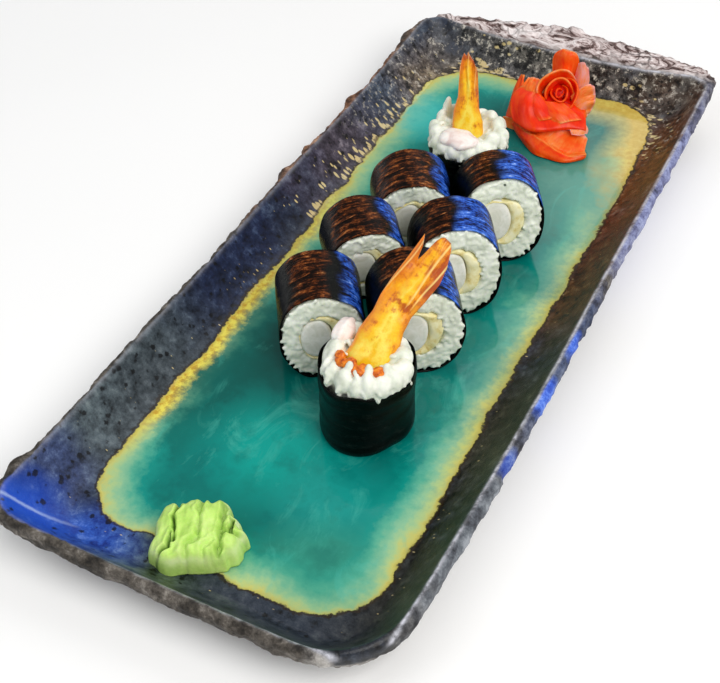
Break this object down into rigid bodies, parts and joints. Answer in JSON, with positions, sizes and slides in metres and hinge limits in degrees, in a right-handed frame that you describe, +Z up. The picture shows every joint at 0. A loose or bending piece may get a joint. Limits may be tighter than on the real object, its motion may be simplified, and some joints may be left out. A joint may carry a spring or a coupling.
{
  "type": "maki sushi on a serving tray",
  "caption": "Maki sushi pieces in two rows and two standing end pieces with prawn tails, with pickled ginger and wasabi, on a long hand-made stoneware tray.",
  "frame": {"origin": "middle of the tray's box, on the surface it stands on", "axes": "+Z up, +Y along the tray towards the far end, where the ginger lies, +X to the right"},
  "size_m": [0.1624, 0.3928, 0.0787],
  "materials": {
    "stoneware": "hand-made stoneware under a running glass glaze: a teal pool with a gold edge, indigo and brown-black walls, a rough torn rim",
    "nori": "dark green-black roasted seaweed, moist and glossy",
    "rice": "cooked short-grain rice, moist",
    "prawn": "cooked prawn meat, moist",
    "batter": "pale fried batter",
    "prawn_tail": "fried prawn tail in thin yellow-orange batter",
    "cheese": "smooth cream cheese",
    "ginger": "wet translucent pickled ginger slices",
    "wasabi": "soft pressed paste"
  },
  "bodies": {
    "root": {"tray": "stoneware", "roll_left_front_nori": "nori", "roll_left_front_rice": "rice", "roll_left_front_prawn": "prawn", "roll_left_front_batter": "batter", "roll_right_front_nori": "nori", "roll_right_front_rice": "rice", "roll_right_front_prawn": "prawn", "roll_right_front_batter": "batter", "roll_left_middle_nori": "nori", "roll_left_middle_rice": "rice", "roll_left_middle_prawn": "prawn", "roll_left_middle_batter": "batter", "roll_right_middle_nori": "nori", "roll_right_middle_rice": "rice", "roll_right_middle_prawn": "prawn", "roll_right_middle_batter": "batter", "roll_left_back_nori": "nori", "roll_left_back_rice": "rice", "roll_left_back_prawn": "prawn", "roll_left_back_batter": "batter", "roll_right_back_nori": "nori", "roll_right_back_rice": "rice", "roll_right_back_prawn": "prawn", "roll_right_back_batter": "batter", "end_front_nori": "nori", "end_front_rice": "rice", "end_front_prawn": "prawn_tail", "end_front_cheese": "cheese", "end_back_nori": "nori", "end_back_rice": "rice", "end_back_prawn": "prawn_tail", "end_back_cheese": "cheese", "ginger": "ginger", "wasabi": "wasabi"}
  },
  "joints": []
}
